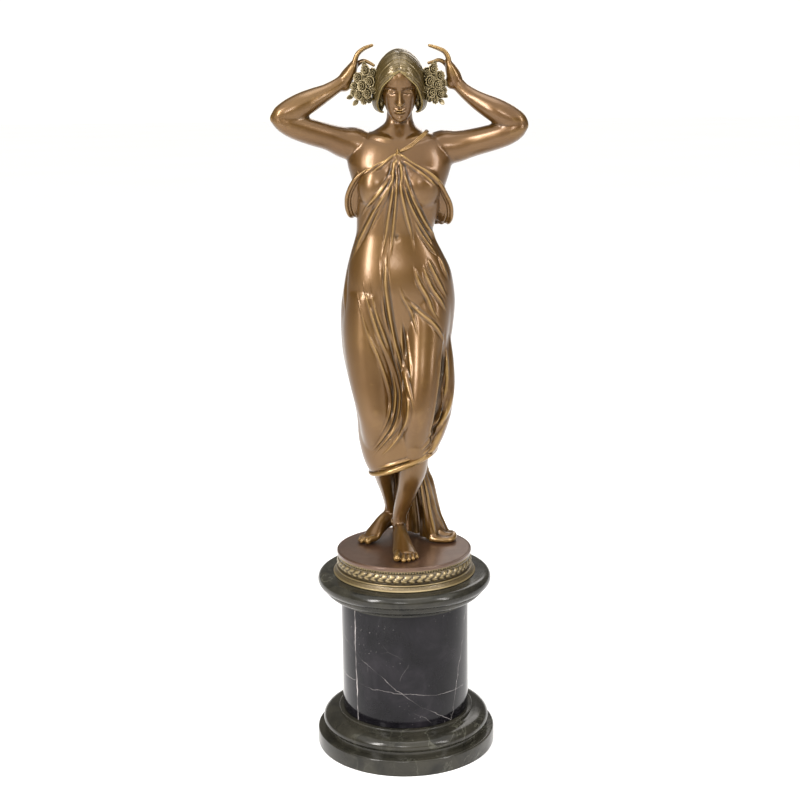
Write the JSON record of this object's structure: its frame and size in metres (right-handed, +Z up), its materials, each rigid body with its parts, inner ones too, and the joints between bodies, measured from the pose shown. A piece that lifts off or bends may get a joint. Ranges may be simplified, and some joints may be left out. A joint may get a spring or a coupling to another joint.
{
  "type": "statue on plinth",
  "caption": "Draped female figure in patinated cast bronze, hands raised to the roses in the hair, on a round bronze base and a turned dark marble column plinth.",
  "frame": {"origin": "centre of the plinth's underside, on the floor", "axes": "+Z up along the plinth's axis, -Y the way the figure faces, +X to the viewer's right"},
  "size_m": [0.3049, 0.2276, 0.8791],
  "materials": {
    "brown_bronze": "brown patina, polished and waxed, golden on the ridges",
    "olive_bronze": "olive gold patina over fine relief, smooth brown disc on top",
    "green_marble": "polished very dark green marble",
    "veined_marble": "polished near-black marble with thin white veins"
  },
  "bodies": {
    "root": {"bronze_figure": "brown_bronze", "bronze_base": "olive_bronze", "marble_cap": "green_marble", "marble_drum": "veined_marble", "marble_foot": "green_marble"}
  },
  "joints": []
}
